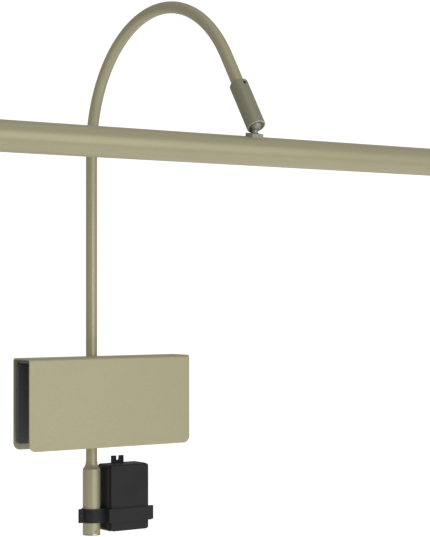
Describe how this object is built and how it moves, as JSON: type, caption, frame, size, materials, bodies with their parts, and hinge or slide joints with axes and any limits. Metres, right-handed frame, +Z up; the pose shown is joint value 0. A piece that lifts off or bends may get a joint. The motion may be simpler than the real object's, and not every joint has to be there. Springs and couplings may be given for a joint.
{
  "type": "picture light",
  "caption": "Round tubular picture light on a swan-neck arm, clamped to a padded saddle bracket that drops over a panel's top edge, with a small driver box strapped to the stem.",
  "frame": {"origin": "middle of the padded face under the saddle bracket's web, which rests on the panel's top edge", "axes": "+X along the light bar and the panel's edge, +Z up, -Y forward to the viewer, over the panel's front"},
  "size_m": [0.56, 0.3, 0.5255],
  "materials": {
    "khaki_paint": "satin khaki powder coat",
    "foam": "matt closed-cell foam",
    "black_plastic": "fine-textured moulded black",
    "black_metal": "satin black",
    "black_screw": "blackened steel",
    "zinc_screw": "zinc-plated steel",
    "nickel": "bright nickel plate",
    "brass": "turned brass",
    "nylon": "natural nylon",
    "lead_sheath": "white flexible sheath",
    "circuit_board": "green solder resist",
    "black_parts": "moulded black parts",
    "aluminium": "plain extruded",
    "white_board": "white solder resist",
    "phosphor": "yellow phosphor gel",
    "opal": "opal diffusing"
  },
  "bodies": {
    "saddle": {"bracket_channel": "khaki_paint", "front_pad": "foam", "back_pad": "foam", "top_pad": "foam", "clamp_block": "black_metal", "clamp_liner": "nylon", "clamp_block_screws": "zinc_screw", "clamp_grub_screws": "black_screw"},
    "arm": {"arm_tube": "khaki_paint", "arm_lead": "lead_sheath", "lower_sleeve": "khaki_paint", "inlet_ring": "nickel", "inlet_insulator": "nylon", "inlet_pin": "brass", "sleeve_grub_screw": "black_screw", "driver_base": "black_plastic", "driver_cover": "black_plastic", "driver_board": "circuit_board", "driver_components": "black_parts", "driver_screws": "zinc_screw", "driver_socket": "black_parts", "strap_front": "black_plastic", "strap_rear": "black_plastic", "strap_screws": "black_screw", "knuckle_body": "khaki_paint", "knuckle_ferrule": "brass", "knuckle_grub_screw": "black_screw", "disc_springs": "zinc_screw"},
    "ball_seat": {"ball_seat": "nylon"},
    "stud": {"ball_stud": "khaki_paint", "stud_spring_washer": "zinc_screw", "stud_lock_nut": "zinc_screw", "stud_lead": "lead_sheath"},
    "bar": {"saddle_washer": "khaki_paint", "inner_washer": "zinc_screw", "bar_tube": "khaki_paint", "led_carrier": "aluminium", "led_board": "white_board", "led_chips": "phosphor", "bar_lead": "lead_sheath", "diffuser": "opal", "end_cap_left": "khaki_paint", "end_cap_right": "khaki_paint", "end_cap_screws": "zinc_screw"}
  },
  "joints": [
    {"name": "arm_height", "type": "slide", "parent": "saddle", "child": "arm", "axis": [0, 0, 1], "range_m": [-0.15, 0.02]},
    {"name": "ball_swivel", "type": "hinge", "parent": "arm", "child": "ball_seat", "pos_m": [0, -0.2556, 0.21799], "axis": [0, 0.5519, 0.8339], "range_deg": [-15, 15]},
    {"name": "bar_tilt", "type": "hinge", "parent": "ball_seat", "child": "stud", "pos_m": [0, -0.2556, 0.21799], "axis": [-1, 0, 0], "range_deg": [-1, 87]},
    {"name": "bar_turn", "type": "hinge", "parent": "stud", "child": "bar", "pos_m": [0, -0.2556, 0.21799], "axis": [0, -0.165, 0.9863], "range_deg": [-45, 45]}
  ]
}
